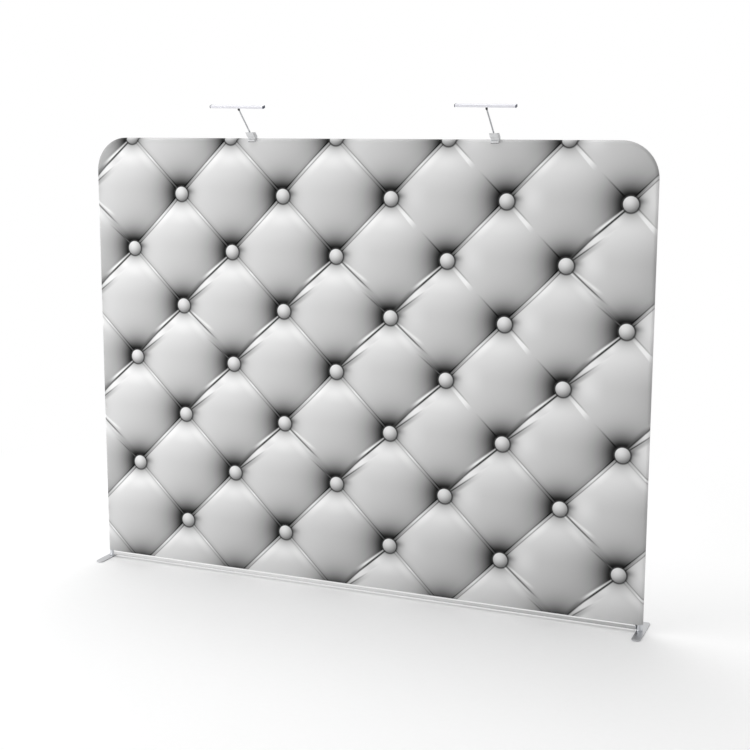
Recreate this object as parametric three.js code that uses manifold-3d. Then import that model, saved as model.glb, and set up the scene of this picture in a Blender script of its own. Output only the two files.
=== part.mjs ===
// Tension fabric display stand: a slip-together tube frame on two flat feet, a zipped stretch cover
// pulled over it like a pillowcase, and two lamps clamped to its top rail.
// Millimetres, +Z up, the printed face looks along -Y. Origin: floor level, centre of the bounding box.

import * as THREE from 'three';
import { mergeVertices } from 'three/addons/utils/BufferGeometryUtils.js';
import Module from 'manifold-3d';

const wasm = await Module();
wasm.setup();

// Driving dimensions of the whole display
const displayWidth = 3000;
const displayHeight = 2332;
const coverCornerRadius = 175;
const bottomRailHeight = 27;
const printEdgeHeight = 40;
const tubeDiameter = 30;
const tubeWall = 1.5;
const slipLength = 60;
const coverThickness = 0.8;

// Clearances between neighbouring pieces
const restGap = 0.3;
const slipGap = 0.3;
const coverGap = 0.4;
const clampGap = 0.4;
const overrun = 5;

// Facets of the round shapes
const tubeFacets = 20;
const smallFacets = 12;
const bendFacets = 5;
const coverFacets = 5;

// Sizes worked out from the driving ones
const tubeRadius = tubeDiameter / 2;
const tubeBore = tubeRadius - tubeWall;
const plugRadius = tubeBore - slipGap;
const plugBore = plugRadius - tubeWall;
const coverInside = tubeRadius + coverGap;
const coverOutside = coverInside + coverThickness;
const seamGap = 0.3;
const coverHalfDepth = coverOutside + seamGap / 2;
const uprightX = displayWidth / 2 - coverOutside;
const topRailHeight = displayHeight - coverOutside;
const bendRadius = coverCornerRadius - coverOutside;

const display = new THREE.Group();

// A BufferGeometry made into a solid: doubles merged, slivers at a lathe's poles dropped, faces outward.
function toSolid(geometry) {
  const bare = geometry.index ? geometry.toNonIndexed() : geometry.clone();
  bare.deleteAttribute('normal');
  bare.deleteAttribute('uv');
  const merged = mergeVertices(bare);
  const points = merged.attributes.position;
  const corner = (i) => new THREE.Vector3().fromBufferAttribute(points, i);
  const triangles = [];
  let volume = 0;
  for (let i = 0; i < merged.index.count; i += 3) {
    const [a, b, c] = [0, 1, 2].map((k) => merged.index.getX(i + k));
    if (a === b || b === c || c === a) continue;
    triangles.push([a, b, c]);
    volume += corner(a).dot(corner(b).cross(corner(c)));
  }
  const facing = volume < 0 ? triangles.map(([a, b, c]) => [a, c, b]) : triangles;
  return new wasm.Manifold(new wasm.Mesh({
    numProp: 3,
    vertProperties: Float32Array.from(points.array),
    triVerts: Uint32Array.from(facing.flat()),
  }));
}

function toGeometry(solid) {
  const mesh = solid.getMesh();
  const geometry = new THREE.BufferGeometry();
  geometry.setAttribute('position', new THREE.BufferAttribute(Float32Array.from(mesh.vertProperties), 3));
  geometry.setIndex(new THREE.BufferAttribute(Uint32Array.from(mesh.triVerts), 1));
  return geometry;
}

const joined = (...solids) => solids.reduce((sum, solid) => sum.add(solid));
const cut = (solid, ...cutters) => cutters.reduce((rest, cutter) => rest.subtract(cutter), solid);

// A round shape turned about the Z axis from its [radius, height] outline.
function turned(outline, facets) {
  const profile = outline.map(([radius, height]) => new THREE.Vector2(radius, height));
  if (outline[0][0] > 0) profile.push(profile[0].clone());
  return new THREE.LatheGeometry(profile, facets).rotateX(Math.PI / 2);
}

// A rod from 0 to its length along an axis.
function rod(axis, radius, length, facets = smallFacets) {
  const geometry = turned([[0, 0], [radius, 0], [radius, length], [0, length]], facets);
  if (axis === 'x') geometry.rotateY(Math.PI / 2);
  if (axis === 'y') geometry.rotateX(-Math.PI / 2);
  return geometry;
}

// A box from its lowest and highest corners.
function box([x0, y0, z0], [x1, y1, z1]) {
  const geometry = new THREE.BoxGeometry(x1 - x0, y1 - y0, z1 - z0);
  return geometry.translate((x0 + x1) / 2, (y0 + y1) / 2, (z0 + z1) / 2);
}

// A side outline in (y, z) drawn out along X and centred on it.
const sideAxes = new THREE.Matrix4().makeBasis(
  new THREE.Vector3(0, 1, 0), new THREE.Vector3(0, 0, 1), new THREE.Vector3(1, 0, 0));
function acrossX(shape, width, curveSegments = smallFacets) {
  const geometry = new THREE.ExtrudeGeometry(shape, { depth: width, bevelEnabled: false, curveSegments });
  return geometry.translate(0, 0, -width / 2).applyMatrix4(sideAxes);
}

function addPiece(parent, name, solid, material, position = [0, 0, 0]) {
  const mesh = new THREE.Mesh(toGeometry(solid), material.clone());
  mesh.name = name;
  mesh.position.set(...position);
  parent.add(mesh);
  return mesh;
}

function addGroup(parent, position, turn = [0, 0, 0]) {
  const group = new THREE.Group();
  group.position.set(...position);
  group.rotation.set(...turn);
  parent.add(group);
  return group;
}

const finish = (color, roughness, metalness) => new THREE.MeshStandardMaterial({ color, roughness, metalness });
const anodisedAluminium = finish(0xc9cbce, 0.35, 1);
const satinSteel = finish(0xb4b6b8, 0.35, 1);
const zincSteel = finish(0x9fa2a6, 0.4, 1);
const printedCover = finish(0xc4c4c4, 0.85, 0);
const plainCover = finish(0xf2f2f2, 0.85, 0);
const zipNylon = finish(0xe8e8e8, 0.5, 0);
const greyPlastic = finish(0xd4d5d6, 0.45, 0);
const blackPlastic = finish(0x111214, 0.45, 0);
const navyPlastic = finish(0x0d1f45, 0.4, 0);
const blackRubber = finish(0x1a1a1a, 0.9, 0);
const whiteEnamel = finish(0xf0f1f3, 0.35, 0.2);
const milkyAcrylic = finish(0xf8f8f4, 0.3, 0);
const boardWhite = finish(0xdfe6dd, 0.6, 0);

// Snap buttons: where each one comes through a slip joint, and which way it points.
// All point into the plane of the frame, where the cover doesn't press on them.
const uprightSplit = 0.5;
const uprightTop = displayHeight * uprightSplit;
const cornerLegLength = 60;
const cornerEndX = uprightX - bendRadius - cornerLegLength;
const railJointOffset = 120;
const slipMiddle = slipLength / 2;
const stubEnd = tubeRadius + restGap;
const saddleHeight = 26;
const postBottom = bottomRailHeight + saddleHeight + restGap;
const postTop = topRailHeight - saddleHeight - restGap;
const postSplit = (postBottom + postTop) / 2;
const buttonSites = {
  snap_button_upright_left: { at: [-uprightX, 0, uprightTop + slipMiddle], way: [1, 0, 0] },
  snap_button_upright_right: { at: [uprightX, 0, uprightTop + slipMiddle], way: [-1, 0, 0] },
  snap_button_stub_left: { at: [-uprightX + stubEnd + slipMiddle, 0, bottomRailHeight], way: [0, 0, 1] },
  snap_button_stub_right: { at: [uprightX - stubEnd - slipMiddle, 0, bottomRailHeight], way: [0, 0, 1] },
  snap_button_corner_left: { at: [-cornerEndX + slipMiddle, 0, topRailHeight], way: [0, 0, -1] },
  snap_button_corner_right: { at: [cornerEndX - slipMiddle, 0, topRailHeight], way: [0, 0, -1] },
  snap_button_top_rail: { at: [railJointOffset + slipMiddle, 0, topRailHeight], way: [0, 0, -1] },
  snap_button_bottom_rail: { at: [-railJointOffset + slipMiddle, 0, bottomRailHeight], way: [0, 0, 1] },
  snap_button_post: { at: [0, 0, postSplit + slipMiddle], way: [1, 0, 0] },
};
const buttonRadius = 3.7;
const buttonFlangeRadius = 4.6;
const buttonFlangeThickness = 1.2;
const buttonProud = 3;
const buttonDomeHeight = 1.5;
const buttonTipShare = 0.6;

// The flange's rim is what touches the curved bore from inside.
const facetInset = Math.cos(Math.PI / tubeFacets);
const flangeTop = Math.sqrt((plugBore * facetInset) ** 2 - buttonFlangeRadius ** 2) - restGap;
const upAxis = new THREE.Vector3(0, 0, 1);
const buttonSolid = toSolid(turned([
  [0, flangeTop - buttonFlangeThickness],
  [buttonFlangeRadius, flangeTop - buttonFlangeThickness],
  [buttonFlangeRadius, flangeTop],
  [buttonRadius, flangeTop],
  [buttonRadius, tubeRadius + buttonProud - buttonDomeHeight],
  [buttonRadius * buttonTipShare, tubeRadius + buttonProud],
  [0, tubeRadius + buttonProud],
], smallFacets));
for (const [name, site] of Object.entries(buttonSites)) {
  const mesh = addPiece(display, name, buttonSolid, zincSteel, site.at);
  mesh.quaternion.setFromUnitVectors(upAxis, new THREE.Vector3(...site.way));
}

// Holes for the named buttons through a solid whose own origin lies at start.
function drilled(solid, start, names) {
  const holes = names.map((name) => {
    const { at, way } = buttonSites[name];
    const hole = rod('z', buttonRadius + slipGap, tubeRadius + overrun);
    hole.applyQuaternion(new THREE.Quaternion().setFromUnitVectors(upAxis, new THREE.Vector3(...way)));
    return toSolid(hole.translate(at[0] - start[0], at[1] - start[1], at[2] - start[2]));
  });
  return cut(solid, ...holes);
}

// Frame tube along +Z. A drawn end is a narrower plug that slips into the next tube.
function tubeAlongZ(length, drawnEnd) {
  const outline = [[tubeBore, 0], [tubeRadius, 0], [tubeRadius, length]];
  if (drawnEnd) {
    outline.push([plugRadius, length], [plugRadius, length + slipLength], [plugBore, length + slipLength]);
    outline.push([plugBore, length - tubeWall], [tubeBore, length - tubeWall]);
  } else {
    outline.push([tubeBore, length]);
  }
  return turned(outline, tubeFacets);
}

function addStraightTube(name, start, length, axis, drawnEnd, buttonNames) {
  const geometry = tubeAlongZ(length, drawnEnd);
  if (axis === 'x') geometry.rotateY(Math.PI / 2);
  addPiece(display, name, drilled(toSolid(geometry), start, buttonNames), anodisedAluminium, start);
}

// Feet: a flat steel plate with round bevelled tips, a rubber sole, and a spigot that the upright
// stands over and the plate turns under, held from below by a countersunk bolt. Most of the plate's
// width lies outside the upright.
const footLength = 266;
const footWidth = 43;
const footOutset = 7;
const footThickness = 5;
const footTipThickness = 1;
const footBevelLength = 7;
const soleThickness = 1.5;
const soleMargin = 2;
const soleHoleRadius = 9.5;
const spigotHeight = 55;
const spigotChamfer = 2;
const boltRadius = 4;
const boltHeadRadius = 8;
const boltHeadHeight = 4;
const boltLength = 30;
const plateBottom = soleThickness + restGap;
const plateTop = plateBottom + footThickness;
const spigotBottom = plateTop + restGap;
const uprightBottom = plateTop + restGap;

function stadium(width, length, holeRadius) {
  const shape = new THREE.Shape();
  const radius = width / 2;
  const straight = length / 2 - radius;
  shape.absarc(footOutset, straight, radius, 0, Math.PI, false);
  shape.absarc(footOutset, -straight, radius, Math.PI, 2 * Math.PI, false);
  const hole = new THREE.Path();
  hole.absarc(0, 0, holeRadius, 0, 2 * Math.PI, true);
  shape.holes.push(hole);
  return shape;
}

function slab(shape, thickness, bottom) {
  const options = { depth: thickness, bevelEnabled: false, curveSegments: smallFacets / 2 };
  return new THREE.ExtrudeGeometry(shape, options).translate(0, 0, bottom);
}

const boltHoleRadius = boltRadius + slipGap;
const boltSinkRadius = boltHeadRadius + slipGap;
const plateBlank = toSolid(slab(stadium(footWidth, footLength, boltHoleRadius), footThickness, plateBottom));
const boltSink = toSolid(turned([
  [0, plateBottom - overrun], [boltSinkRadius, plateBottom - overrun], [boltSinkRadius, plateBottom],
  [boltRadius + slipGap, plateBottom + boltHeadHeight], [0, plateBottom + boltHeadHeight],
], smallFacets));
const bevelDrop = footThickness - footTipThickness;
const bevelAngle = Math.atan(bevelDrop / footBevelLength);
const tipCutters = [-1, 1].map((end) => {
  const cutter = box([-footLength, -footLength / 2, 0], [footLength, footLength / 2, footLength]);
  cutter.rotateX(-end * bevelAngle).translate(0, end * (footLength / 2 - footBevelLength), plateTop);
  return toSolid(cutter);
});
const tipZone = [-1, 1].map((end) => {
  const inner = end * (footLength / 2 - footBevelLength);
  const outer = end * (footLength / 2 + overrun);
  return toSolid(box([-footLength, Math.min(inner, outer), 0],
    [footLength, Math.max(inner, outer), plateTop + overrun]));
});
const tipWaste = tipCutters.map((cutter, i) => cutter.intersect(tipZone[i]));
const plateSolid = cut(plateBlank, boltSink, ...tipWaste);
const soleShape = stadium(footWidth - 2 * soleMargin, footLength - 2 * footBevelLength, soleHoleRadius);
const soleSolid = toSolid(slab(soleShape, soleThickness, 0));
const spigotSolid = toSolid(turned([
  [boltHoleRadius, spigotBottom], [plugRadius, spigotBottom],
  [plugRadius, spigotBottom + spigotHeight - spigotChamfer],
  [plugRadius - spigotChamfer, spigotBottom + spigotHeight],
  [boltHoleRadius, spigotBottom + spigotHeight],
], tubeFacets));
const boltSolid = toSolid(turned([
  [0, plateBottom], [boltHeadRadius, plateBottom], [boltRadius, plateBottom + boltHeadHeight],
  [boltRadius, plateBottom + boltLength], [0, plateBottom + boltLength],
], smallFacets));

// Uprights stand on the feet. Each has a stub at bottom rail height; the bent corner tube slips over its top.
const uprightLength = uprightTop - uprightBottom;
const cornerStart = uprightTop + restGap;
const cornerLegHeight = topRailHeight - bendRadius - cornerStart;

class QuarterBend extends THREE.Curve {
  getPoint(share, target = new THREE.Vector3()) {
    const angle = share * Math.PI / 2;
    return target.set(bendRadius * (1 - Math.cos(angle)), 0, bendRadius * Math.sin(angle));
  }
}

function annulus(outer, inner) {
  const shape = new THREE.Shape();
  shape.absarc(0, 0, outer, 0, 2 * Math.PI, false);
  const hole = new THREE.Path();
  hole.absarc(0, 0, inner, 0, 2 * Math.PI, true);
  shape.holes.push(hole);
  return shape;
}

const bendLap = 0.5;
for (const [side, word] of [[-1, 'left'], [1, 'right']]) {
  const footGroup = addGroup(display, [side * uprightX, 0, 0]);
  const plate = addPiece(footGroup, `foot_plate_${word}`, plateSolid, satinSteel);
  const sole = addPiece(footGroup, `foot_sole_${word}`, soleSolid, blackRubber);
  if (side < 0) plate.rotation.z = sole.rotation.z = Math.PI;
  addPiece(footGroup, `foot_spigot_${word}`, spigotSolid, zincSteel);
  addPiece(footGroup, `foot_bolt_${word}`, boltSolid, zincSteel);

  const uprightStart = [side * uprightX, 0, uprightBottom];
  const stubTube = turned([
    [plugBore, 0], [plugRadius, 0], [plugRadius, stubEnd + slipLength], [plugBore, stubEnd + slipLength],
  ], tubeFacets);
  stubTube.rotateY(-side * Math.PI / 2).translate(0, 0, bottomRailHeight - uprightBottom);
  const bore = rod('z', (tubeRadius + tubeBore) / 2, uprightLength, tubeFacets);
  const stub = cut(toSolid(stubTube), toSolid(bore));
  const upright = joined(toSolid(tubeAlongZ(uprightLength, true)), stub);
  const uprightButtons = [`snap_button_upright_${word}`, `snap_button_stub_${word}`];
  addPiece(display, `upright_${word}`, drilled(upright, uprightStart, uprightButtons),
    anodisedAluminium, uprightStart);

  // The corner tube: a long leg down to the upright, a quarter bend and a short leg that plugs the top rail.
  const cornerOrigin = [side * uprightX, 0, cornerStart];
  const longLeg = tubeAlongZ(cornerLegHeight + bendLap, false);
  const bendOptions = { extrudePath: new QuarterBend(), steps: 2 * bendFacets, curveSegments: tubeFacets / 2 };
  const bend = new THREE.ExtrudeGeometry(annulus(tubeRadius, tubeBore), bendOptions);
  bend.translate(0, 0, cornerLegHeight);
  const shortLeg = tubeAlongZ(cornerLegLength + bendLap, true).rotateY(Math.PI / 2);
  shortLeg.translate(bendRadius - bendLap, 0, cornerLegHeight + bendRadius);
  const legs = [longLeg, bend, shortLeg].map((geometry) => {
    if (side > 0) geometry.scale(-1, 1, 1);
    return toSolid(geometry);
  });
  const cornerButtons = [`snap_button_upright_${word}`, `snap_button_corner_${word}`];
  addPiece(display, `corner_tube_${word}`, drilled(joined(...legs), cornerOrigin, cornerButtons),
    anodisedAluminium, cornerOrigin);
}

// Top and bottom rails: two lengths each, slipped together a little to one side of the centre post.
const topRailStart = -cornerEndX + restGap;
const bottomRailStart = -uprightX + stubEnd;
addStraightTube('top_rail_left', [topRailStart, 0, topRailHeight], railJointOffset - topRailStart, 'x', true,
  ['snap_button_corner_left', 'snap_button_top_rail']);
addStraightTube('top_rail_right', [railJointOffset + restGap, 0, topRailHeight],
  cornerEndX - railJointOffset - 2 * restGap, 'x', false, ['snap_button_corner_right', 'snap_button_top_rail']);
addStraightTube('bottom_rail_left', [bottomRailStart, 0, bottomRailHeight],
  -railJointOffset - bottomRailStart, 'x', true, ['snap_button_stub_left', 'snap_button_bottom_rail']);
addStraightTube('bottom_rail_right', [-railJointOffset + restGap, 0, bottomRailHeight],
  railJointOffset - bottomRailStart - restGap, 'x', false, ['snap_button_stub_right', 'snap_button_bottom_rail']);

// Centre post: two lengths between moulded saddles that straddle the rails.
addStraightTube('centre_post_lower', [0, 0, postBottom], postSplit - postBottom, 'z', true, ['snap_button_post']);
addStraightTube('centre_post_upper', [0, 0, postSplit + restGap], postTop - postSplit - restGap, 'z', false,
  ['snap_button_post']);
const saddlePlugLength = 45;
const saddleRise = 4;
const saddleBlank = toSolid(turned([
  [0, saddleRise], [tubeRadius, saddleRise], [tubeRadius, saddleHeight], [plugRadius, saddleHeight],
  [plugRadius, saddleHeight + saddlePlugLength], [0, saddleHeight + saddlePlugLength],
], tubeFacets));
const railSeat = rod('x', tubeRadius + restGap, 2 * displayWidth, tubeFacets).translate(-displayWidth, 0, 0);
const saddleSolid = cut(saddleBlank, toSolid(railSeat));
addPiece(display, 'post_saddle_bottom', saddleSolid, blackPlastic, [0, 0, bottomRailHeight]);
const topSaddle = addPiece(display, 'post_saddle_top', saddleSolid, blackPlastic, [0, 0, topRailHeight]);
topSaddle.rotation.x = Math.PI;

// Cover: a stretched pillowcase. Its inside and outside both follow the line of the tubes' centres,
// grown by a radius, so it lies flat front and back and wraps round the outer tubes.
const hemEndGap = 3;
const frameLine = new THREE.Shape();
frameLine.moveTo(-uprightX, bottomRailHeight);
frameLine.lineTo(-uprightX, topRailHeight - bendRadius);
frameLine.absarc(-uprightX + bendRadius, topRailHeight - bendRadius, bendRadius, Math.PI, Math.PI / 2, true);
frameLine.absarc(uprightX - bendRadius, topRailHeight - bendRadius, bendRadius, Math.PI / 2, 0, true);
frameLine.lineTo(uprightX, bottomRailHeight);

function pillow(radius) {
  const geometry = new THREE.ExtrudeGeometry(frameLine, {
    depth: seamGap,
    bevelThickness: radius,
    bevelSize: radius,
    bevelSegments: coverFacets,
    curveSegments: bendFacets,
  });
  return toSolid(geometry.translate(0, 0, -seamGap / 2).rotateX(Math.PI / 2));
}

const reach = displayWidth + displayHeight;
const pillowcase = cut(pillow(coverOutside), pillow(coverInside));
const sheetZone = (y0, y1) => toSolid(box([-reach, y0, printEdgeHeight], [reach, y1, reach]));
addPiece(display, 'cover_front', pillowcase.intersect(sheetZone(-reach, -seamGap / 2)), printedCover);
addPiece(display, 'cover_back', pillowcase.intersect(sheetZone(seamGap / 2, reach)), plainCover);
const hemHalf = uprightX - tubeRadius - hemEndGap;
const hemZone = toSolid(box([-hemHalf, -reach, -reach], [hemHalf, reach, printEdgeHeight - seamGap]));
addPiece(display, 'cover_hem', pillowcase.intersect(hemZone), plainCover);

// Zip: it joins the hem to the back sheet. The slider rests closed at the right-hand end, its pull lying flat.
const sliderLength = 12;
const sliderWidth = 9;
const sliderThickness = 2.4;
const sliderFromEnd = 24;
const sliderNoseShare = 0.45;
const earThickness = 1.2;
const earGap = 4;
const earLength = 4;
const pullPinRadius = 0.8;
const pullPinStand = 2.4;
const pullLength = 22;
const pullWidth = 5;
const pullThickness = 1.2;
const pullEyeRadius = 2;
const sliderX = hemHalf - sliderFromEnd;
const sliderBack = coverHalfDepth + restGap;
const sliderGroup = addGroup(display, [sliderX, sliderBack, printEdgeHeight]);
const sliderOutline = new THREE.Shape([
  new THREE.Vector2(-sliderLength / 2, -sliderWidth / 2 * sliderNoseShare),
  new THREE.Vector2(0, -sliderWidth / 2),
  new THREE.Vector2(sliderLength / 2, -sliderWidth / 2),
  new THREE.Vector2(sliderLength / 2, sliderWidth / 2),
  new THREE.Vector2(0, sliderWidth / 2),
  new THREE.Vector2(-sliderLength / 2, sliderWidth / 2 * sliderNoseShare),
]);
const sliderPlate = new THREE.ExtrudeGeometry(sliderOutline, { depth: sliderThickness, bevelEnabled: false });
sliderPlate.rotateX(Math.PI / 2).translate(0, sliderThickness, 0);
const pinY = sliderThickness + pullPinStand;
const earReach = pinY + pullPinRadius + earThickness / 2;
const ears = [-1, 1].map((side) => {
  const inner = side * earGap / 2;
  const outer = side * (earGap / 2 + earThickness);
  return toSolid(box([-earLength / 2, sliderThickness / 2, Math.min(inner, outer)],
    [earLength / 2, earReach, Math.max(inner, outer)]));
});
const pullPin = rod('z', pullPinRadius, earGap + earThickness).translate(0, pinY, -(earGap + earThickness) / 2);
addPiece(sliderGroup, 'zip_slider', joined(toSolid(sliderPlate), ...ears, toSolid(pullPin)), zipNylon);

const pullEyeWidth = earGap - 2 * slipGap;
const pullEye = rod('z', pullEyeRadius, pullEyeWidth).translate(0, 0, -pullEyeWidth / 2);
const pullNeck = box([-pullEyeRadius - earLength / 2, -pullThickness / 2, -pullEyeWidth / 2],
  [-pullEyeRadius / 2, pullThickness / 2, pullEyeWidth / 2]);
const pullTab = box([-pullLength, -pullThickness / 2, -pullWidth / 2],
  [-earLength, pullThickness / 2, pullWidth / 2]);
const pullBore = rod('z', pullPinRadius + slipGap, pullWidth).translate(0, 0, -pullWidth / 2);
const pullSolid = cut(joined(toSolid(pullEye), toSolid(pullNeck), toSolid(pullTab)), toSolid(pullBore));
addPiece(sliderGroup, 'zip_pull', pullSolid, zipNylon, [0, pinY, 0]);

// Lamps. Everything on a clamp is measured from the rail's centre line; forward is -Y.
const lampLeftX = -562;
const lampRightX = 726;
const clampWidth = 40;
const strapWidth = 24;
const strapThickness = 2.4;
const railRoom = coverOutside + clampGap;
const jawReach = 28.5;
const jawDrop = 1.7;
const jawRise = 9;
const jawRounding = 3;
const throatStart = [29.5, 13];
const throatMiddle = [33.5, 29];
const lipReach = 53;
const lipHeight = 47;
const crestReach = 18;
const crestHeight = 48;
const heelReach = 3.5;
const heelHeight = 29;
const padThickness = 3;
const padRadius = 6;
const padTravel = 1;
const legTail = 11;
const legInside = coverHalfDepth + restGap + padThickness + padTravel + slipGap;
const legOutside = legInside + strapThickness;
const bossRadius = 7;
const bossLength = 5;
const screwRadius = 3;
const screwTipRadius = 2;
const screwTipLength = 1.5;
const knobRadius = 12;
const knobThickness = 9;
const knobStand = 4;
const knobLobes = 6;
const knobValley = 1.5;

const pivotForward = 26.5;
const pivotHeight = 34.5;
const armTilt = THREE.MathUtils.degToRad(46);
const armLength = 180;
const armRadius = 4;
const armEyeRadius = 5.5;
const armPinRadius = 2.5;
const armSlotFloor = 8;
const armSlotFront = 6.4;
const armTongueThickness = 3.4;
const armTongueWidth = 6.4;
const armTongueEye = 4.2;
const knucklePinRadius = 1.5;
const knuckleEarThickness = 2.2;
const knuckleEarRadius = 5;
const knuckleGap = armTongueThickness + 2 * slipGap;
const knuckleWidth = knuckleGap + 2 * knuckleEarThickness;
const knuckleNeck = 4.4;
const knucklePadThickness = 3;
const armRodEnd = armLength - knuckleEarRadius - 2;

const headLength = 296;
const headDepth = 24;
const headThickness = 12;
const headWall = 1.5;
const headEdge = 2;
const headForward = 12.8;
const headRise = 17.7;
const headTilt = THREE.MathUtils.degToRad(16);
const headDroop = THREE.MathUtils.degToRad(1);
const capThickness = 3;
const capPlug = 6;
const capProud = 0.4;
const diffuserThickness = 1.6;
const boardThickness = 1.2;
const boardWidth = 15;
const cableHoleRadius = 2.5;
const cableHoleX = 18;

function outlineOf(points) {
  return new THREE.Shape(points.map(([y, z]) => new THREE.Vector2(y, z)));
}

// The clamp's body hugs the front and top of the rail. Seen from the end it has a bulging lower jaw,
// a hollow above it, and a face that leans forward to the lip where the arm comes out.
function clampBodyShape() {
  const shape = new THREE.Shape();
  shape.moveTo(-railRoom, -jawDrop);
  shape.lineTo(-jawReach + jawRounding, -jawDrop);
  shape.quadraticCurveTo(-jawReach, -jawDrop, -jawReach, -jawDrop + jawRounding);
  shape.lineTo(-jawReach, jawRise);
  shape.lineTo(-throatStart[0], throatStart[1]);
  shape.quadraticCurveTo(-throatMiddle[0], throatMiddle[1], -lipReach, lipHeight);
  shape.lineTo(-crestReach, crestHeight);
  shape.lineTo(heelReach, heelHeight);
  shape.lineTo(heelReach, railRoom);
  shape.lineTo(0, railRoom);
  shape.absarc(0, 0, railRoom, Math.PI / 2, Math.PI, false);
  return shape;
}

// A strap runs on over the rail and down behind it, where the screw presses.
function clampStrapShape() {
  const shape = new THREE.Shape();
  shape.moveTo(0, railRoom);
  shape.lineTo(heelReach, railRoom);
  shape.absarc(0, 0, railRoom, Math.acos(heelReach / railRoom), Math.PI / 4, true);
  shape.lineTo(legInside, railRoom * Math.SQRT1_2);
  shape.lineTo(legInside, -legTail);
  shape.lineTo(legOutside, -legTail);
  shape.lineTo(legOutside, railRoom * Math.SQRT1_2);
  shape.quadraticCurveTo(legOutside, railRoom + strapThickness, heelReach, railRoom + strapThickness);
  shape.lineTo(0, railRoom + strapThickness);
  return shape;
}

function clampSolid() {
  const body = toSolid(acrossX(clampBodyShape(), clampWidth));
  const strap = toSolid(acrossX(clampStrapShape(), strapWidth));
  const boss = toSolid(rod('y', bossRadius, bossLength + strapThickness).translate(0, legInside, 0));
  const thread = toSolid(rod('y', screwRadius + slipGap, legOutside + bossLength));
  const slotWidth = 2 * (armRadius + slipGap);
  const slot = box([-slotWidth / 2, -armSlotFront, -armSlotFloor], [slotWidth / 2, armLength, armLength]);
  slot.rotateX(armTilt).translate(0, -pivotForward, pivotHeight);
  const pinHole = rod('x', armPinRadius + slipGap, 2 * clampWidth);
  pinHole.translate(-clampWidth, -pivotForward, pivotHeight);
  return cut(joined(body, strap, boss), toSolid(slot), toSolid(pinHole), thread);
}

// Knob outline with lobes for the fingers.
function knobShape() {
  const shape = new THREE.Shape();
  const steps = 4 * knobLobes;
  for (let i = 0; i < steps; i += 1) {
    const angle = 2 * Math.PI * i / steps;
    const radius = knobRadius - knobValley * (1 - Math.cos(knobLobes * angle)) / 2;
    const point = [radius * Math.cos(angle), radius * Math.sin(angle)];
    if (i === 0) shape.moveTo(...point);
    else shape.lineTo(...point);
  }
  return shape;
}

const screwStart = coverHalfDepth + restGap + padThickness - screwTipLength;
const knobStart = legOutside + bossLength + padTravel + knobStand;
const screwLength = knobStart - screwStart;
function screwSolid() {
  const shaft = turned([
    [0, 0], [screwTipRadius, 0], [screwTipRadius, screwTipLength + restGap],
    [screwRadius, screwTipLength + restGap], [screwRadius, screwLength + bendLap], [0, screwLength + bendLap],
  ], smallFacets);
  const knob = new THREE.ExtrudeGeometry(knobShape(), { depth: knobThickness, bevelEnabled: false });
  knob.translate(0, 0, screwLength);
  return joined(toSolid(shaft.rotateX(-Math.PI / 2)), toSolid(knob.rotateX(-Math.PI / 2)));
}

function padSolid() {
  const socket = screwTipRadius + slipGap;
  const socketFloor = padThickness - screwTipLength - slipGap;
  return toSolid(turned([
    [0, 0], [padRadius, 0], [padRadius, padThickness], [socket, padThickness], [socket, socketFloor],
    [0, socketFloor],
  ], smallFacets).rotateX(-Math.PI / 2));
}

function armSolid() {
  const eye = rod('x', armEyeRadius, 2 * armRadius).translate(-armRadius, 0, 0);
  const shaft = rod('z', armRadius, armRodEnd);
  const tongue = box([-armTongueThickness / 2, -armTongueWidth / 2, armRodEnd - armTongueWidth],
    [armTongueThickness / 2, armTongueWidth / 2, armLength]);
  const tongueEye = rod('x', armTongueEye, armTongueThickness).translate(-armTongueThickness / 2, 0, armLength);
  const pinHole = rod('x', armPinRadius + slipGap, 4 * armRadius).translate(-2 * armRadius, 0, 0);
  const tipHole = rod('x', knucklePinRadius + slipGap, 4 * armRadius).translate(-2 * armRadius, 0, armLength);
  const bars = joined(toSolid(eye), toSolid(shaft), toSolid(tongue), toSolid(tongueEye));
  return cut(bars, toSolid(pinHole), toSolid(tipHole));
}

// Head parts are measured from the knuckle's pin, before the head is tilted.
const headBack = -headForward + headDepth / 2;
const headTop = headRise + headThickness / 2;
const headBottom = headRise - headThickness / 2;
const bodyLength = headLength - 2 * (capThickness + restGap);

function knuckleSolid() {
  const ring = rod('x', knuckleEarRadius, knuckleWidth).translate(-knuckleWidth / 2, 0, 0);
  const padBack = headBack + restGap + knucklePadThickness;
  const neck = box([-knuckleWidth / 2, padBack - knuckleNeck, 0], [knuckleWidth / 2, padBack, headBottom - restGap]);
  const pad = box([-knuckleWidth / 2, headBack + restGap, headBottom - 2 * restGap],
    [knuckleWidth / 2, padBack, headTop - headEdge]);
  const slotTop = armTongueEye + 2 * slipGap;
  const slot = box([-knuckleGap / 2, -footWidth, -footWidth], [knuckleGap / 2, footWidth, slotTop]);
  const pinHole = rod('x', knucklePinRadius + slipGap, 2 * knuckleWidth).translate(-knuckleWidth, 0, 0);
  return cut(joined(toSolid(ring), toSolid(neck), toSolid(pad)), toSolid(slot), toSolid(pinHole));
}

// Outline of the head's section with its four edges rounded, grown by a margin.
function headSection(margin) {
  const shape = new THREE.Shape();
  const [y0, y1] = [-headForward - headDepth / 2 - margin, headBack + margin];
  const [z0, z1] = [headBottom - margin, headTop + margin];
  shape.absarc(y1 - headEdge, z1 - headEdge, headEdge, 0, Math.PI / 2, false);
  shape.absarc(y0 + headEdge, z1 - headEdge, headEdge, Math.PI / 2, Math.PI, false);
  shape.absarc(y0 + headEdge, z0 + headEdge, headEdge, Math.PI, 3 * Math.PI / 2, false);
  shape.absarc(y1 - headEdge, z0 + headEdge, headEdge, 3 * Math.PI / 2, 2 * Math.PI, false);
  return shape;
}

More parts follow.
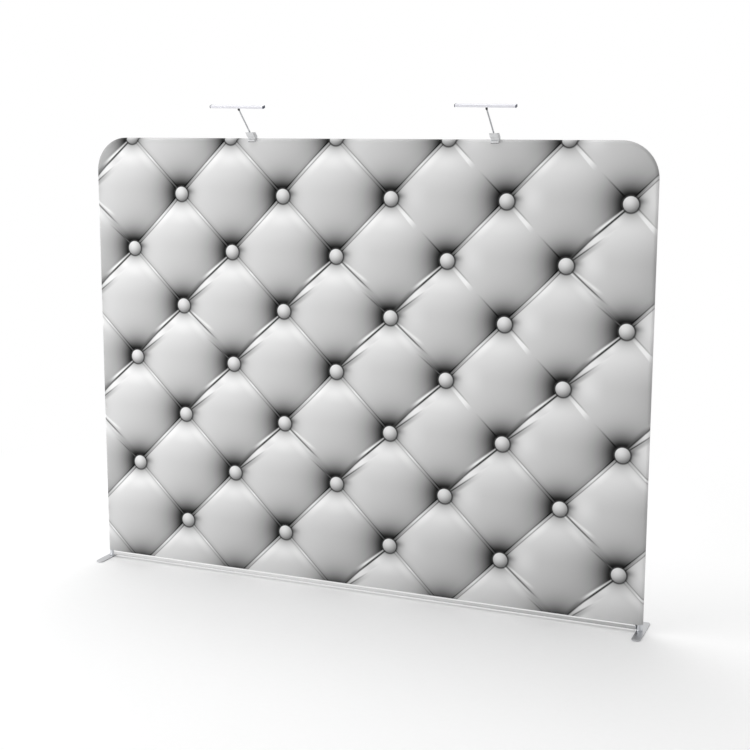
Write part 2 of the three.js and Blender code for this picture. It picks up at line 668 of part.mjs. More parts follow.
const innerFront = -headForward - headDepth / 2 + headWall;
const innerBack = headBack - headWall;
const boardTop = headTop - headWall - restGap;
const diffuserTop = headBottom + diffuserThickness;
function housingSolid() {
  const blank = toSolid(acrossX(headSection(0), bodyLength, 2));
  const hollow = box([-headLength, innerFront, headBottom - overrun], [headLength, innerBack, headTop - headWall]);
  const cableHole = rod('y', cableHoleRadius, 2 * overrun).translate(cableHoleX, headBack - overrun, headRise);
  return cut(blank, toSolid(hollow), toSolid(cableHole));
}

function capSolid(side) {
  const plate = acrossX(headSection(capProud), capThickness, 2);
  plate.translate(side * (headLength - capThickness) / 2, 0, 0);
  const plugX = [side * (headLength / 2 - capThickness - restGap - capPlug), side * (headLength - capThickness) / 2];
  const plug = box([Math.min(...plugX), innerFront + restGap, diffuserTop + restGap],
    [Math.max(...plugX), innerBack - restGap, boardTop - boardThickness - restGap]);
  return joined(toSolid(plate), toSolid(plug));
}

const diffuserSolid = toSolid(box([-bodyLength / 2, innerFront + restGap, headBottom],
  [bodyLength / 2, innerBack - restGap, diffuserTop]));
const boardSolid = toSolid(box([-bodyLength / 2, -headForward - boardWidth / 2, boardTop - boardThickness],
  [bodyLength / 2, -headForward + boardWidth / 2, boardTop]));
const pinThrough = (radius, width) => toSolid(rod('x', radius, width).translate(-width / 2, 0, 0));

for (const [word, x] of [['left', lampLeftX], ['right', lampRightX]]) {
  const lamp = `lamp_${word}`;
  const onRail = addGroup(display, [x, 0, topRailHeight]);
  addPiece(onRail, `${lamp}_clamp`, clampSolid(), greyPlastic);
  addPiece(onRail, `${lamp}_screw_pad`, padSolid(), blackRubber, [0, coverHalfDepth + restGap, 0]);
  addPiece(onRail, `${lamp}_clamp_screw`, screwSolid(), blackPlastic, [0, screwStart, 0]);
  const pivot = [0, -pivotForward, pivotHeight];
  addPiece(onRail, `${lamp}_arm_pin`, pinThrough(armPinRadius, clampWidth - restGap), zincSteel, pivot);
  const armGroup = addGroup(onRail, pivot, [armTilt, 0, 0]);
  addPiece(armGroup, `${lamp}_arm`, armSolid(), anodisedAluminium);
  const headGroup = addGroup(armGroup, [0, 0, armLength], [headTilt - armTilt, 0, 0]);
  addPiece(headGroup, `${lamp}_knuckle`, knuckleSolid(), blackPlastic);
  addPiece(headGroup, `${lamp}_knuckle_pin`, pinThrough(knucklePinRadius, knuckleWidth - restGap), zincSteel);
  const barGroup = addGroup(headGroup, [0, 0, 0], [0, headDroop, 0]);
  addPiece(barGroup, `${lamp}_housing`, housingSolid(), whiteEnamel);
  addPiece(barGroup, `${lamp}_diffuser`, diffuserSolid, milkyAcrylic);
  addPiece(barGroup, `${lamp}_led_board`, boardSolid, boardWhite);
  addPiece(barGroup, `${lamp}_cap_left`, capSolid(-1), navyPlastic);
  addPiece(barGroup, `${lamp}_cap_right`, capSolid(1), navyPlastic);
}

// The lamps reach further forward than the feet reach back, so the frame stands a little behind the origin.
const headEndRise = headLength / 2 * Math.sin(headDroop);
const headReach = (headDepth / 2 + capProud - headEdge) * Math.cos(headTilt)
  + (headThickness / 2 + capProud - headEdge + headEndRise) * Math.sin(headTilt) + headEdge;
const headCentreForward = pivotForward + armLength * Math.sin(armTilt)
  + headForward * Math.cos(headTilt) + headRise * Math.sin(headTilt);
display.position.y = (headCentreForward + headReach - footLength / 2) / 2;

const stand = new THREE.Group();
stand.add(display);

export default stand;
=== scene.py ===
import math
from functools import partial

import bmesh
import bpy
from mathutils import Matrix, Vector


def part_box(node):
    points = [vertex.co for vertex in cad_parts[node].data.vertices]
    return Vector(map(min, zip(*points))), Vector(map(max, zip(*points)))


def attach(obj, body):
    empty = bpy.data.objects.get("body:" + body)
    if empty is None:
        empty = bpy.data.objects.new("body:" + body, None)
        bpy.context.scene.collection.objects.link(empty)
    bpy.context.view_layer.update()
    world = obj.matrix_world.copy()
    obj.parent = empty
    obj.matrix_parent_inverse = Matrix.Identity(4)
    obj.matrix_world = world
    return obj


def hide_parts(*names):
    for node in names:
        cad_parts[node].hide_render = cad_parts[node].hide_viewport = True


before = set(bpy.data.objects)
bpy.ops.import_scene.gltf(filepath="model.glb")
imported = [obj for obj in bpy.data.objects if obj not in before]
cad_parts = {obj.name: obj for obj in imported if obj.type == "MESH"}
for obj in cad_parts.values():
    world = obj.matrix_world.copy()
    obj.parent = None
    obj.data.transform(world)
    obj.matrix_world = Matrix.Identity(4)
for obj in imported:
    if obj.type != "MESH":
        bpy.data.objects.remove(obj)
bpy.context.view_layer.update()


# Feet. Each is a flat bar of steel with half-round ends, ground to a thin bevel at both tips and
# brushed along its length. A rubber sole is glued under it, and a countersunk bolt from below
# holds the spigot that the upright stands over.
MM = 0.001
FOOT_LENGTH, FOOT_WIDTH = 266 * MM, 43 * MM
FOOT_BOTTOM, FOOT_TOP = 1.8 * MM, 6.8 * MM
FOOT_TIP, FOOT_BEVEL = 1 * MM, 7 * MM
SAME_PLACE = 1e-6


def linear(code):
    """An sRGB hex colour as the linear RGBA that a shader takes."""
    parts = [int(code[i:i + 2], 16) / 255 for i in (1, 3, 5)]
    return [*(c / 12.92 if c <= 0.04045 else ((c + 0.055) / 1.055) ** 2.4 for c in parts), 1]


def add(tree, kind, links=(), out=0, to=None, **settings):
    """Adds a node, its operation named after its kind, with its settings and links. One of its outputs may go
    to a socket, and is given back."""
    kind, *operation = kind.split()
    node = tree.nodes.new("ShaderNode" + kind)
    for name, value in [*settings.items(), *(("operation", word) for word in operation)]:
        setattr(node, name, value)
    for name, value in links.items() if isinstance(links, dict) else enumerate(links):
        if isinstance(value, bpy.types.NodeSocket):
            tree.links.new(value, node.inputs[name])
        else:
            node.inputs[name].default_value = value
    if to is not None:
        tree.links.new(node.outputs[out], to)
    return node.outputs[out]


def finish_named(name, colour, **sockets):
    """A material with its plain shader, ready for its pattern."""
    material = bpy.data.materials.new(name)
    material.use_nodes = True
    shader = material.node_tree.nodes["Principled BSDF"]
    shader.inputs["Base Color"].default_value = linear(colour)
    for socket, value in sockets.items():
        shader.inputs[socket.replace("_", " ")].default_value = value
    return material, material.node_tree, shader


def speckle(tree, scale, stretch=(1, 1, 1), turn=0):
    """Grain in the object's own metres, turned about X and drawn out along an axis by a small stretch."""
    place = add(tree, "TexCoord", out="Object")
    place = add(tree, "Mapping", {"Vector": place, "Rotation": (turn, 0, 0)})
    place = add(tree, "Mapping", {"Vector": place, "Scale": stretch})
    return add(tree, "TexNoise", {"Vector": place, "Scale": scale, "Detail": 3}, "Fac")


def let_show(tree, shader, pattern, dark, pale, gloss=None, relief=None):
    """A pattern shows in the surface: in its tone, from dark to pale, and where they are given in its
    roughness, from low to high, and in its relief, of a depth and a strength."""
    add(tree, "Mix", {0: pattern, 6: linear(dark), 7: linear(pale)}, 2, shader.inputs["Base Color"],
        data_type="RGBA")
    if gloss:
        add(tree, "MapRange", {"Value": pattern, "To Min": gloss[0], "To Max": gloss[1]},
            to=shader.inputs["Roughness"])
    if relief:
        add(tree, "Bump", {"Height": pattern, "Distance": relief[0], "Strength": relief[1]}, "Normal",
            shader.inputs["Normal"])


def solid(name, shape, material, body, *nodes, slot=None, smooth=40):
    """A finished bmesh as a piece: smooth but for its sharp edges, riding on a body in place of CAD nodes."""
    mesh = bpy.data.meshes.new(name)
    shape.to_mesh(mesh)
    shape.free()
    mesh.materials.append(material)
    mesh.set_sharp_from_angle(angle=math.radians(smooth))
    piece = bpy.data.objects.new(name, mesh)
    bpy.context.collection.objects.link(piece)
    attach(piece, body)
    if nodes:
        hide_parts(*nodes)
    return piece


def rounded(piece, width, segments=3, angle=35):
    """A worn or moulded edge: a small bevel on every edge sharper than the angle."""
    edge = piece.modifiers.new("edge", "BEVEL")
    edge.width, edge.segments, edge.limit_method = width, segments, "ANGLE"
    edge.angle_limit, edge.harden_normals = math.radians(angle), True
    edge.miter_outer = "MITER_ARC"


def stadium(shape, centre, width, length):
    """A flat bar's outline with half-round ends, as one face."""
    corners = bmesh.ops.create_grid(shape, x_segments=1, y_segments=1, size=0.5)["verts"]
    bmesh.ops.transform(shape, verts=corners, matrix=Matrix.Translation(centre)
                        @ Matrix.Diagonal((width, length, 1, 1)))
    # The two arcs of an end stop just short of each other, and their ends are then joined.
    bmesh.ops.bevel(shape, geom=corners, affect="VERTICES", offset=width / 2 * 0.9999, segments=14, profile=0.5,
                    material=-1)
    bmesh.ops.remove_doubles(shape, verts=shape.verts, dist=10 * SAME_PLACE)


def drawn_out(shape, way):
    """Draws every face of a flat shape out into a closed block."""
    drawn = bmesh.ops.extrude_face_region(shape, geom=shape.faces[:], use_keep_orig=True)["geom"]
    bmesh.ops.translate(shape, verts=[part for part in drawn if isinstance(part, bmesh.types.BMVert)], vec=way)
    bmesh.ops.recalc_face_normals(shape, faces=shape.faces)


# Bare steel, brushed along the bar and lacquered: the light smears across its fine scratches.
satin_steel, tree, shader = finish_named("brushed satin steel", "#B9BABC", Metallic=1, Roughness=0.34)
let_show(tree, shader, speckle(tree, 900, (1, 0.03, 1)), "#A9AAAC", "#C6C7C9", (0.28, 0.42), (0.02 * MM, 0.4))
# Moulded rubber: dull and dark, with dust in its grain.
black_rubber, tree, shader = finish_named("moulded black rubber", "#1B1B1C", Roughness=0.85)
let_show(tree, shader, speckle(tree, 700), "#151516", "#242425", relief=(0.1 * MM, 0.5))
# Bright zinc plate on turned steel: a soft mottled shine.
zinc_steel, tree, shader = finish_named("bright zinc plated steel", "#A9ACB0", Metallic=1, Roughness=0.35)
let_show(tree, shader, speckle(tree, 400), "#9A9DA2", "#B9BCC0", gloss=(0.28, 0.45))

for side in ("left", "right"):
    low, high = (Vector(corner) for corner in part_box(f"foot_plate_{side}"))
    centre = (low + high) / 2
    bar = bmesh.new()
    stadium(bar, (centre.x, centre.y, FOOT_BOTTOM), FOOT_WIDTH, FOOT_LENGTH)
    drawn_out(bar, (0, 0, FOOT_TOP - FOOT_BOTTOM))
    for end in (-1, 1):
        cut = bmesh.ops.bisect_plane(bar, geom=bar.verts[:] + bar.edges[:] + bar.faces[:], clear_outer=True,
                                     plane_co=(centre.x, centre.y + end * (FOOT_LENGTH / 2 - FOOT_BEVEL), FOOT_TOP),
                                     plane_no=(0, end * (FOOT_TOP - FOOT_BOTTOM - FOOT_TIP), FOOT_BEVEL))["geom_cut"]
        bmesh.ops.contextual_create(bar, geom=[part for part in cut if isinstance(part, bmesh.types.BMEdge)])
    bmesh.ops.recalc_face_normals(bar, faces=bar.faces)
    plate = solid(f"foot_bar_{side}", bar, satin_steel, f"foot_{side}", f"foot_plate_{side}", slot="satin_steel")
    rounded(plate, 0.5 * MM)
    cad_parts[f"foot_sole_{side}"].data.materials[0] = black_rubber
    for node in (f"foot_spigot_{side}", f"foot_bolt_{side}"):
        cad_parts[node].data.materials[0] = zinc_steel


# Frame tubes. Thin-walled aluminium, extruded, swaged at one end to slip into the next tube, and
# anodised in its own colour. The two uprights show below the cover; each carries a short stub
# for the bottom rail.
TUBE, WALL, PLUG = 15 * MM, 1.5 * MM, 13.2 * MM
UPRIGHT_X, UPRIGHT_BOTTOM, UPRIGHT_TOP, SLIP = 1483.8 * MM, 7.1 * MM, 1166 * MM, 60 * MM
BOTTOM_RAIL, STUB_START, STUB_END = 27 * MM, 14 * MM, 75.3 * MM

# Extruded aluminium, satin anodised: a silky grey with faint lines drawn along the tube.
anodised_tube, tree, shader = finish_named("satin anodised aluminium", "#C9CBCE", Metallic=1, Roughness=0.33)
let_show(tree, shader, speckle(tree, 600, (1, 1, 0.02)), "#BDBFC3", "#D3D5D8", (0.27, 0.4), (0.02 * MM, 0.4))
# Glass-filled nylon from a spark-eroded mould: black with a fine grit.
black_plastic, tree, shader = finish_named("moulded black nylon", "#141517", Roughness=0.42)
let_show(tree, shader, speckle(tree, 1200), "#101113", "#1B1C1F", relief=(0.08 * MM, 0.5))


def turned(points, centre, segments=48):
    """A round piece turned about a vertical line from (radius, height) points, closed along its own outline."""
    shape = bmesh.new()
    ring = [shape.verts.new(Vector(centre) + Vector((radius, 0, height))) for radius, height in points]
    edges = [shape.edges.new(pair) for pair in zip(ring, ring[1:])]
    bmesh.ops.spin(shape, geom=ring + edges, cent=centre, axis=(0, 0, 1), angle=2 * math.pi, steps=segments,
                   use_merge=True)
    bmesh.ops.remove_doubles(shape, verts=shape.verts, dist=SAME_PLACE)
    bmesh.ops.recalc_face_normals(shape, faces=shape.faces)
    return shape


middle = sum(corner[1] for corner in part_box("upright_left")) / 2
bore, plug_bore = TUBE - WALL, PLUG - WALL
for side, way in (("left", 1), ("right", -1)):
    x = -way * UPRIGHT_X
    tube = turned([(bore, UPRIGHT_BOTTOM), (TUBE, UPRIGHT_BOTTOM), (TUBE, UPRIGHT_TOP), (PLUG, UPRIGHT_TOP),
                   (PLUG, UPRIGHT_TOP + SLIP), (plug_bore, UPRIGHT_TOP + SLIP), (plug_bore, UPRIGHT_TOP - WALL),
                   (bore, UPRIGHT_TOP - WALL), (bore, UPRIGHT_BOTTOM)], (x, middle, 0))
    stub = turned([(plug_bore, STUB_START), (PLUG, STUB_START), (PLUG, STUB_END), (plug_bore, STUB_END),
                   (plug_bore, STUB_START)], (0, 0, 0))
    stub.transform(Matrix.Translation((x, middle, BOTTOM_RAIL)) @ Matrix.Rotation(way * math.pi / 2, 4, "Y"))
    branch = bpy.data.meshes.new("branch")
    stub.to_mesh(branch)
    stub.free()
    tube.from_mesh(branch)
    bpy.data.meshes.remove(branch)
    upright = solid(f"upright_tube_{side}", tube, anodised_tube, "frame", f"upright_{side}", slot="anodised_tube")
    rounded(upright, 0.3 * MM, segments=2)
for name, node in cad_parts.items():
    if name.startswith(("corner_tube", "top_rail", "bottom_rail", "centre_post")):
        node.data.materials[0] = anodised_tube
    elif name.startswith("post_saddle"):
        node.data.materials[0] = black_plastic
    elif name.startswith("snap_button"):
        node.data.materials[0] = zinc_steel


# Cover. A pillowcase of stretch polyester, pulled over the frame and drawn tight. The front sheet
# is dye printed with a buttoned diamond pattern in silver greys; the back one is plain white.
# The two are serged together along the middle of the tubes.
COVER_X, COVER_TOP, PRINT_EDGE = 1500 * MM, 2332 * MM, 40 * MM
CORNER, WRAP, CLOTH, SEAM = 175 * MM, 16.2 * MM, 0.8 * MM, 0.15 * MM
SEAM_WIDTH, SEAM_RISE = 2.4 * MM, 0.7 * MM


def outline(depth):
    """The cover's outline as one upright face: square below, with two round corners at the top."""
    shape = bmesh.new()
    corners = [shape.verts.new((x, depth, z))
               for x, z in ((-COVER_X, PRINT_EDGE), (COVER_X, PRINT_EDGE), (COVER_X, COVER_TOP), (-COVER_X, COVER_TOP))]
    shape.faces.new(corners)
    bmesh.ops.bevel(shape, geom=corners[2:], affect="VERTICES", offset=CORNER, segments=24, profile=0.5, material=-1)
    return shape


def stretched_sheet(facing):
    """One sheet from the mid-depth seam to the flat face, rolled round the outer tubes."""
    shape = outline(middle + facing * SEAM)
    drawn_out(shape, (0, facing * WRAP, 0))
    flat = middle + facing * (SEAM + WRAP)
    rim = [edge for edge in shape.edges if all(abs(vert.co.y - flat) < SAME_PLACE for vert in edge.verts)
           and max(vert.co.z for vert in edge.verts) > PRINT_EDGE + SAME_PLACE]
    # The roll stops just short of the seam, so that no face there shrinks to nothing.
    bmesh.ops.bevel(shape, geom=rim, affect="EDGES", offset=WRAP * 0.995, segments=8, profile=0.5, material=-1,
                    clamp_overlap=False)
    inside = [face for face in shape.faces
              if all(abs(vert.co.y - middle - facing * SEAM) < SAME_PLACE for vert in face.verts)
              or all(abs(vert.co.z - PRINT_EDGE) < SAME_PLACE for vert in face.verts)]
    bmesh.ops.delete(shape, geom=inside, context="FACES")
    return shape


def thickened(piece, thickness, offset=-1):
    """Gives a sheet its cloth's thickness, to the inside unless the offset is 1."""
    wall = piece.modifiers.new("cloth", "SOLIDIFY")
    wall.thickness, wall.offset = thickness, offset


# Dye printed polyester: matt, its tones in the yarn, a fine knit that only a raking light shows.
# The print pictures a deep buttoned diamond quilt lit from above on the left. Its columns and rows lie
# one GRID apart from the first button, and its greys are in steps of 255.
GRID, FIRST_BUTTON, BUTTON = 294.8 * MM, (-1277.66 * MM, 2343.47 * MM), 37
printed_fabric, tree, shader = finish_named("dye printed stretch polyester", "#C4C4C4", Roughness=0.9,
                                            Specular_IOR_Level=0.2)
ink = partial(add, tree)


def cover(*parts):
    """How far a tone covers the ground: the product of its parts, each a share from 0 to 1 or the (value, low,
    high) of a soft step from 0 at low to 1 at high."""
    shares = [ink("MapRange", part, interpolation_type="SMOOTHSTEP") if isinstance(part, tuple) else part
              for part in parts]
    product = shares[0]
    for share in shares[1:]:
        product = ink("Math MULTIPLY", (product, share))
    return product


def stroke(offset, centre, half):
    """The soft step of a line: 1 on its centre, 0 from its half width on."""
    return ink("Math ABSOLUTE", (ink("Math SUBTRACT", (offset, centre)),)), half, 0


def paint(ground, tone, *parts):
    """Lays a tone over the ground where its parts cover it."""
    return ink("Math MULTIPLY_ADD", (ink("Math SUBTRACT", (tone, ground)), cover(*parts), ground))


def shaded(ground, change, *parts):
    """Makes the ground paler or darker by a change where its parts cover it."""
    return ink("Math MULTIPLY_ADD", (cover(*parts), change, ground))


def is_one_of(row, column, places):
    """1 on the creases at these places in the grid, else 0."""
    found = 0
    for at_row, at_column in places:
        here = cover(ink("Math COMPARE", (row, at_row, 0.1)), ink("Math COMPARE", (column, at_column, 0.1)))
        found = ink("Math MAXIMUM", (found, here))
    return found


place = ink("TexCoord", out="Object")
x, z = (ink("SeparateXYZ", (place,), axis) for axis in "XZ")
p = ink("Math MULTIPLY_ADD", (x, 1 / GRID, -FIRST_BUTTON[0] / GRID))
q = ink("Math MULTIPLY_ADD", (z, -1 / GRID, FIRST_BUTTON[1] / GRID))
# u and v count the diagonals: a button sits wherever both are whole, a crease wherever one is.
u = ink("Math MULTIPLY", (ink("Math ADD", (p, q)), 0.5))
v = ink("Math MULTIPLY", (ink("Math SUBTRACT", (p, q)), 0.5))
u_part, v_part = (ink("Math FRACT", (count,)) for count in (u, v))
u_near, v_near = (ink("Math ROUND", (count,)) for count in (u, v))
DIAGONAL = GRID / MM * math.sqrt(2)
# One puffed diamond: a lit upper half, and a fall into shade at each of its corners.
across = ink("Math SUBTRACT", (ink("Math ADD", (u_part, v_part)), 1))
down = ink("Math SUBTRACT", (u_part, v_part))
grey = shaded(ink("Math MULTIPLY_ADD", (across, -20, 196)), 24, (down, 0, -0.62))
spot = ink("CombineXYZ", (across, down, 0))
for corner, squeeze, depth, fade in (((0, 1, 0), (0.8, 1, 0), 382, 0.175), ((1, 0, 0), (1, 0.75, 0), 330, 0.185),
                                     ((-1, 0, 0), (1, 1, 0), 700, 0.075), ((0, -1, 0), (1, 1, 0), 360, 0.09)):
    offset = ink("VectorMath MULTIPLY", (ink("VectorMath SUBTRACT", (spot, corner)), squeeze))
    reach = ink("VectorMath LENGTH", (offset,), "Value")
    grey = shaded(grey, -depth, ink("Math EXPONENT", (ink("Math MULTIPLY", (reach, -1 / fade)),)))
# Each pad swells up beside its buttons and catches the light: below the upper one in the left and the
# middle of the print, right of the left one further right. There a short pucker starts at the button.
lit_below, lit_beside = ink("MapRange", (x, 0.1, 1.1, 17, 5)), ink("MapRange", (x, -0.2, 1.1, 2, 18))
grey = shaded(grey, lit_below, stroke(down, -0.64, 0.26), stroke(across, 0, 0.48))
grey = shaded(grey, lit_beside, stroke(across, -0.6, 0.34), stroke(down, -0.02, 0.34))
half = ink("Math MULTIPLY_ADD", (across, 0.16, 0.2))
grey = shaded(grey, -34, stroke(down, -0.03, half), (across, -0.66, -0.86))

# Rising creases: millimetres above the crease, and the share of the way from its lower end.
above = ink("Math MULTIPLY", (ink("Math SUBTRACT", (u_near, u)), DIAGONAL))
along, column = v_part, ink("Math FLOOR", (v,))
row = ink("Math SUBTRACT", (u_near, column))
flat = is_one_of(u_near, column, ((5, 2), (5, 1), (4, -1), (7, 1), (6, 3), (3, -3)))
folded = cover((row, 2.4, 2.6), (row, 6.6, 6.4), ink("Math SUBTRACT", (1, flat)))
folded = ink("Math MAXIMUM", (folded, is_one_of(u_near, column, ((5, 3), (0, -1), (6, -2), (8, 0)))))
plain = ink("Math SUBTRACT", (1, folded))
# Each plain one is a cord between two dark lines, with a bow of its own.
own = ink("TexWhiteNoise", (ink("CombineXYZ", (u_near, column, 0)),), "Value")
bow = cover(ink("MapRange", (own, 0, 1, -22, 14)), along, ink("Math SUBTRACT", (1, along)))
level = ink("Math SUBTRACT", (above, bow))
grey = shaded(grey, -11, stroke(above, 6, 30))
grey = shaded(grey, 15, stroke(above, -18, 34), stroke(along, 0.62, 0.3))
ends = ink("Math ABSOLUTE", (ink("Math SUBTRACT", (along, 0.5)),))
for offset, half, dark, deeper in ((7.5, 5.5, 32, 80), (-8, 5.5, 64, 50)):
    depth = ink("Math MULTIPLY_ADD", (ends, -deeper, -dark))
    grey = shaded(grey, depth, stroke(level, offset, half), plain)
taper = ink("Math POWER", (ink("Math ABSOLUTE", (ink("Math SUBTRACT", (along, 0.55)),)), 1.5))
cord = ink("Math MULTIPLY_ADD", (taper, -440, 232))
grey = paint(grey, cord, (ink("Math ABSOLUTE", (level,)), 7.5, 1.5), plain)
# Where the cloth is folded over, a lit band leaves each button and the two lap past each other.
lap = ink("Math MINIMUM", (2, ink("Math MULTIPLY_ADD", (along, -26, 13.7))))
roll = ink("Math POWER", (ink("Math SUBTRACT", (along, 0.45)), 2))
dip = ink("Math MULTIPLY_ADD", (along, -60, -3))
grey = paint(grey, 80, stroke(above, 5, ink("Math MULTIPLY_ADD", (along, 34, 10))), (along, 0.68, 0.16), 0.62, folded)
grey = paint(grey, 120, stroke(above, ink("Math MULTIPLY_ADD", (along, -60, -12)), 20), (along, 0.6, 0.1), 0.6, folded)
grey = paint(grey, ink("Math MULTIPLY_ADD", (roll, -1000, 236)), (above, lap, ink("Math ADD", (lap, -5))),
             (above, ink("Math ADD", (dip, -1)), ink("Math ADD", (dip, 8))), (along, 0.75, 0.5), folded)
grey = paint(grey, 58, stroke(above, dip, 6), (along, 0.58, 0.08), folded)
upper = ink("Math MINIMUM", (240, ink("Math MULTIPLY_ADD", (along, -300, 450))))
middle_line, half = (ink("Math MULTIPLY_ADD", (along, *line)) for line in ((-40, 33), (-20, 26)))
grey = paint(grey, upper, stroke(above, middle_line, half), (along, 0.36, 0.6), folded)
sharp = ink("Math MULTIPLY_ADD", (ink("Math ABSOLUTE", (ink("Math SUBTRACT", (along, 0.35)),)), 3.2, 0.25))
grey = paint(grey, 45, stroke(above, lap, 7.5), ink("Math MINIMUM", (1, sharp)), folded)

# Falling creases: a finer line, lit along its lower side. A few are folded too, and on the upper right
# the cloth is eased into a short lit tuck under the upper button.
above = ink("Math MULTIPLY", (ink("Math SUBTRACT", (v, v_near)), DIAGONAL))
along, row = u_part, ink("Math FLOOR", (u,))
folded = is_one_of(row, v_near, ((3, 1), (5, 3), (2, -1), (4, 1), (4, -1), (7, 1), (7, 0), (0, -1), (2, -3)))
tucked = cover((ink("Math ADD", (row, v_near)), 4.4, 4.6), (ink("Math SUBTRACT", (row, v_near)), 4.6, 4.4),
               ink("Math SUBTRACT", (1, folded)))
untucked = ink("Math SUBTRACT", (1, tucked))
plain = ink("Math SUBTRACT", (untucked, folded))
grey = shaded(grey, -12, stroke(above, 6, 30), untucked)
grey = shaded(grey, 14, stroke(above, -24, 40), stroke(along, 0.36, 0.26), untucked)
for offset, half, dark in ((7, 5.5, 42), (-7.5, 5, 24)):
    grey = shaded(grey, -dark, stroke(above, offset, half), plain)
taper = ink("Math POWER", (ink("Math ABSOLUTE", (ink("Math SUBTRACT", (along, 0.38)),)), 1.3))
cord = ink("Math MULTIPLY_ADD", (taper, -395, 234))
grey = paint(grey, cord, (ink("Math ABSOLUTE", (above,)), 6.5, 1.5), plain)
# The fold.
middle_line, half = (ink("Math MULTIPLY_ADD", (along, *line)) for line in ((62, 0), (14, 7)))
grey = paint(grey, 232, stroke(above, middle_line, half), (along, 0.1, 0.22), (along, 0.55, 0.4), folded)
grey = paint(grey, 218, stroke(above, ink("Math MULTIPLY_ADD", (along, 24, -12)), 8), (along, 0.6, 0.42), folded)
edge_line = ink("Math MULTIPLY", (ink("Math POWER", (along, 1.6)), 34))
grey = paint(grey, 95, stroke(above, edge_line, 6), (along, 0.7, 0.4), folded)
grey = paint(grey, 80, stroke(above, ink("Math MULTIPLY_ADD", (along, 50, -50)), 6), (along, 0.5, 0.9), folded)
# The tuck.
inner, outer = (ink("Math MULTIPLY_ADD", (along, -30, start)) for start in (-9, -3))
grey = paint(grey, 240, (above, 7, 2), (above, inner, outer), (along, 0.08, 0.28), (along, 0.48, 0.34), tucked)
grey = shaded(grey, -42, stroke(above, 8, 6), (along, 0.46, 0.2), tucked)
grey = shaded(grey, -46, stroke(above, 1, 6), (along, 0.5, 0.8), tucked)

# Buttons: covered domes, lit from above on the left, in a dark ring where the cloth dips under.
rise = ink("Math MULTIPLY", (ink("Math SUBTRACT", (u_near, u)), GRID / MM))
lean = ink("Math MULTIPLY", (ink("Math SUBTRACT", (v, v_near)), GRID / MM))
right = ink("Math ADD", (ink("Math SUBTRACT", (lean, rise)), -2.5))
up = ink("Math ADD", (ink("Math ADD", (rise, lean)), 5))
reach = ink("VectorMath LENGTH", (ink("CombineXYZ", (right, up, 0)),), "Value")
grey = paint(grey, 60, stroke(reach, BUTTON + 3.5, 8), 0.9)
dome = ink("Math ADD", (ink("Math MULTIPLY_ADD", (up, 1.35, 206)), ink("Math MULTIPLY", (right, -0.8))))
dome = ink("Math MULTIPLY_ADD", (ink("Math POWER", (reach, 2)), -0.028, dome))
grey = paint(grey, ink("Math MINIMUM", (dome, 226)), (reach, BUTTON + 2, BUTTON - 2))
# Painted shade: the print darkens a little to the top and the right, where the light on the display falls off.
white = ink("Math MULTIPLY_ADD", (z, 5.5, ink("Math MULTIPLY_ADD", (x, 1.2, 246))))
grey = ink("Math POWER", (ink("Math DIVIDE", (ink("Math MAXIMUM", (grey, 8)), white)), 2.2))
ink("CombineXYZ", (grey, grey, grey), to=shader.inputs["Base Color"])
ink("Bump", {"Height": speckle(tree, 1400), "Distance": 0.08 * MM, "Strength": 0.25}, "Normal",
    shader.inputs["Normal"])


def knit_cloth(name, colour, dark, pale):
    """Stretch polyester, matt, faintly cloudy, with a fine knit: as it leaves the knitting machine for the white back,
    and in a pale grey of painted shade for the hem.
    """
    fabric, tree, shader = finish_named(name, colour, Roughness=0.9, Specular_IOR_Level=0.2)
    let_show(tree, shader, speckle(tree, 3), dark, pale)
    add(tree, "Bump", {"Height": speckle(tree, 1500), "Distance": 0.1 * MM, "Strength": 0.3}, "Normal",
        shader.inputs["Normal"])
    return fabric


plain_fabric = knit_cloth("plain white stretch polyester", "#E9E9E9", "#E6E6E6", "#ECECEC")

# Overlocked seam: white thread in close slanting loops, 2.5 mm apart, drawn as ridges.
overlock_thread, tree, shader = finish_named("white overlock thread", "#E4E4E4", Roughness=0.8)
place = add(tree, "TexCoord", out="Object")
loops = add(tree, "TexWave", {"Vector": place, "Scale": 64}, "Fac", bands_direction="DIAGONAL")
let_show(tree, shader, loops, "#C9C9C9", "#EDEDED", relief=(0.3 * MM, 0.6))

welt = outline(middle - SEAM_WIDTH / 2)
drawn_out(welt, (0, SEAM_WIDTH, 0))
open_sides = [face for face in welt.faces
              if len(face.verts) > 4 or all(abs(vert.co.z - PRINT_EDGE) < SAME_PLACE for vert in face.verts)]
bmesh.ops.delete(welt, geom=open_sides, context="FACES")
seam = solid("cover_seam", welt, overlock_thread, "frame", slot="plain_fabric", smooth=60)
thickened(seam, SEAM_RISE, offset=1)

# Piping: a bleached cotton cord under white tape, sewn in along the print's lower edge.
HEM_X, HEM_EDGE, CORD = 1465.8 * MM, 39.7 * MM, 3.5 * MM
white_piping, tree, shader = finish_named("white cotton piping", "#F1F1F1", Roughness=0.7)
let_show(tree, shader, speckle(tree, 900, (1, 3, 3)), "#ECECEC", "#F6F6F6", relief=(0.1 * MM, 0.4))
bead = turned([(0, -HEM_X), (CORD, -HEM_X), (CORD, HEM_X), (0, HEM_X)], (0, 0, 0), segments=16)
bead.transform(Matrix.Translation((0, middle - WRAP - SEAM, HEM_EDGE - CORD)) @ Matrix.Rotation(math.pi / 2, 4, "Y"))
piping = solid("cover_piping", bead, white_piping, "frame", slot="plain_fabric")

for word, facing, fabric, slot_name in (("front", -1, printed_fabric, "printed_fabric"),
                                        ("back", 1, plain_fabric, "plain_fabric")):
    sheet = solid(f"{word}_sheet", stretched_sheet(facing), fabric, "frame", f"cover_{word}", slot=slot_name,
                  smooth=60)
    thickened(sheet, CLOTH)
